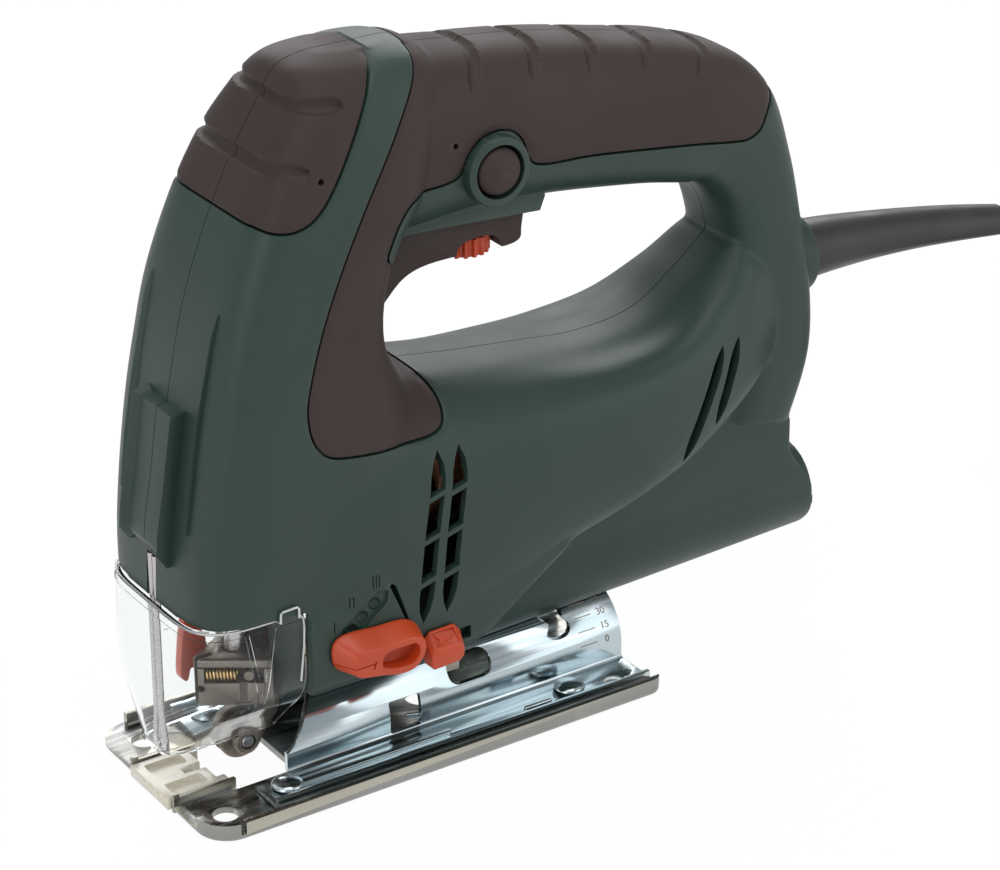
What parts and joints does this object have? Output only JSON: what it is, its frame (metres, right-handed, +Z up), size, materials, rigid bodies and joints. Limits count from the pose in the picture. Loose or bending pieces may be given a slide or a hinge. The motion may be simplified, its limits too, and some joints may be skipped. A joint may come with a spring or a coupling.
{
  "type": "jigsaw",
  "caption": "Corded hand-held jigsaw with a closed soft-grip handle, pendulum setting lever, tilting steel base, clear chip cover and dust spout.",
  "frame": {"origin": "centre of the underside of the base plate, which lies on z = 0", "axes": "+X to the rear of the saw, where the cord leaves; the saw cuts towards -X; -Y is its left side with the setting lever; +Z up"},
  "size_m": [0.451, 0.104, 0.2088],
  "materials": {
    "shell_green": "finely textured moulded plastic",
    "soft_grip": "matt soft overmoulding",
    "control_red": "smooth moulded plastic",
    "steel": "machined and ground",
    "base_steel": "pressed sheet, passivated",
    "zinc_steel": "pressed sheet, bright zinc plated",
    "dark_steel": "blackened",
    "brass": "turned",
    "copper": "wound and turned copper",
    "aluminium": "die cast",
    "clear_plastic": "clear moulded plastic",
    "cream_plastic": "translucent moulded plastic",
    "black_plastic": "smooth flexible plastic"
  },
  "bodies": {
    "saw": {"housing_left": "shell_green", "housing_right": "shell_green", "grip_left": "soft_grip", "grip_right": "soft_grip", "nose_pad_left": "soft_grip", "nose_pad_right": "soft_grip", "housing_screw_1": "steel", "housing_screw_2": "steel", "housing_screw_3": "steel", "housing_screw_4": "steel", "housing_screw_5": "steel", "housing_screw_6": "steel", "gear_case": "aluminium", "stator": "steel", "field_coil_left": "copper", "field_coil_right": "copper", "front_bearing": "steel", "rear_bearing": "steel", "brush_left": "dark_steel", "brush_right": "dark_steel", "gear_axle": "steel", "upper_guide": "brass", "lower_guide": "brass", "release_pin": "steel", "fork_pin": "steel", "guard_wire": "steel", "base_clamp": "cream_plastic", "base_clamp_screw": "steel", "switch_body": "black_plastic", "strain_relief": "soft_grip", "cord": "black_plastic", "cord_coil": "black_plastic", "plug": "black_plastic"},
    "armature": {"armature_shaft": "steel", "armature_core": "copper", "commutator": "copper", "fan": "black_plastic"},
    "gear": {"drive_gear": "steel"},
    "blade_carrier": {"plunger": "steel", "crank_yoke": "steel", "blade_clamp": "dark_steel", "clamp_spring": "brass"},
    "fork": {"roller_fork": "dark_steel", "roller_pin": "steel"},
    "roller": {"guide_roller": "dark_steel"},
    "orbit_selector": {"orbit_lever": "control_red", "orbit_cam": "steel"},
    "release": {"release_lever": "control_red"},
    "blower": {"blower_slider": "control_red"},
    "trigger": {"trigger": "soft_grip"},
    "dial": {"speed_dial": "control_red"},
    "lock": {"lock_button": "soft_grip"},
    "base": {"base_plate": "base_steel", "bevel_bracket": "zinc_steel", "bracket_rivet_1": "zinc_steel", "bracket_rivet_2": "zinc_steel", "bracket_rivet_3": "zinc_steel", "bracket_rivet_4": "zinc_steel"},
    "insert": {"splinter_insert": "cream_plastic"},
    "cover": {"clear_cover": "clear_plastic"}
  },
  "joints": [
    {"name": "gear_turn", "type": "hinge", "parent": "saw", "child": "gear", "pos_m": [-0.035, 0, 0.108], "axis": [1, 0, 0], "range_deg": [0, 180]},
    {"name": "armature_turn", "type": "hinge", "parent": "saw", "child": "armature", "pos_m": [0.03, 0, 0.082], "axis": [1, 0, 0], "range_deg": [-990, 0]},
    {"name": "plunger_stroke", "type": "slide", "parent": "saw", "child": "blade_carrier", "axis": [0, 0, 1], "range_m": [0, 0.022]},
    {"name": "fork_swing", "type": "hinge", "parent": "saw", "child": "fork", "pos_m": [-0.0365, 0, 0.052], "axis": [0, 1, 0], "range_deg": [0, 4]},
    {"name": "roller_spin", "type": "hinge", "parent": "fork", "child": "roller", "pos_m": [-0.0485, 0, 0.011], "axis": [0, 1, 0], "continuous": true},
    {"name": "orbit_setting", "type": "hinge", "parent": "saw", "child": "orbit_selector", "pos_m": [-0.0145, -0.034, 0.045], "axis": [0, 1, 0], "range_deg": [0, 60]},
    {"name": "blade_release", "type": "hinge", "parent": "saw", "child": "release", "pos_m": [-0.055, 0.0127, 0.0635], "axis": [0, 1, 0], "range_deg": [0, 20], "stiffness_Nm_per_rad": 0.1},
    {"name": "blower_setting", "type": "slide", "parent": "saw", "child": "blower", "axis": [1, 0, 0], "range_m": [0, 0.007]},
    {"name": "trigger_pull", "type": "slide", "parent": "saw", "child": "trigger", "axis": [0, 0, 1], "range_m": [0, 0.006], "stiffness_N_per_m": 1500, "springref_m": -0.001},
    {"name": "dial_turn", "type": "hinge", "parent": "trigger", "child": "dial", "pos_m": [0.0285, 0, 0.1437], "axis": [0, 0, 1], "range_deg": [0, 270]},
    {"name": "lock_press", "type": "slide", "parent": "saw", "child": "lock", "axis": [0, 1, 0], "range_m": [0, 0.003], "stiffness_N_per_m": 1000, "springref_m": -0.001},
    {"name": "base_tilt", "type": "hinge", "parent": "saw", "child": "base", "pos_m": [0, 0, 0.008], "axis": [1, 0, 0], "range_deg": [-45, 45]},
    {"name": "insert_slide", "type": "slide", "parent": "base", "child": "insert", "axis": [-1, 0, 0], "range_m": [0, 0.022]},
    {"name": "cover_slide", "type": "slide", "parent": "saw", "child": "cover", "axis": [-1, 0, 0], "range_m": [0, 0.06]}
  ],
  "couplings": [
    {"joint": "gear_turn", "follows": "plunger_stroke", "rad_per_m": 142.79},
    {"joint": "armature_turn", "follows": "plunger_stroke", "rad_per_m": -785.35}
  ]
}
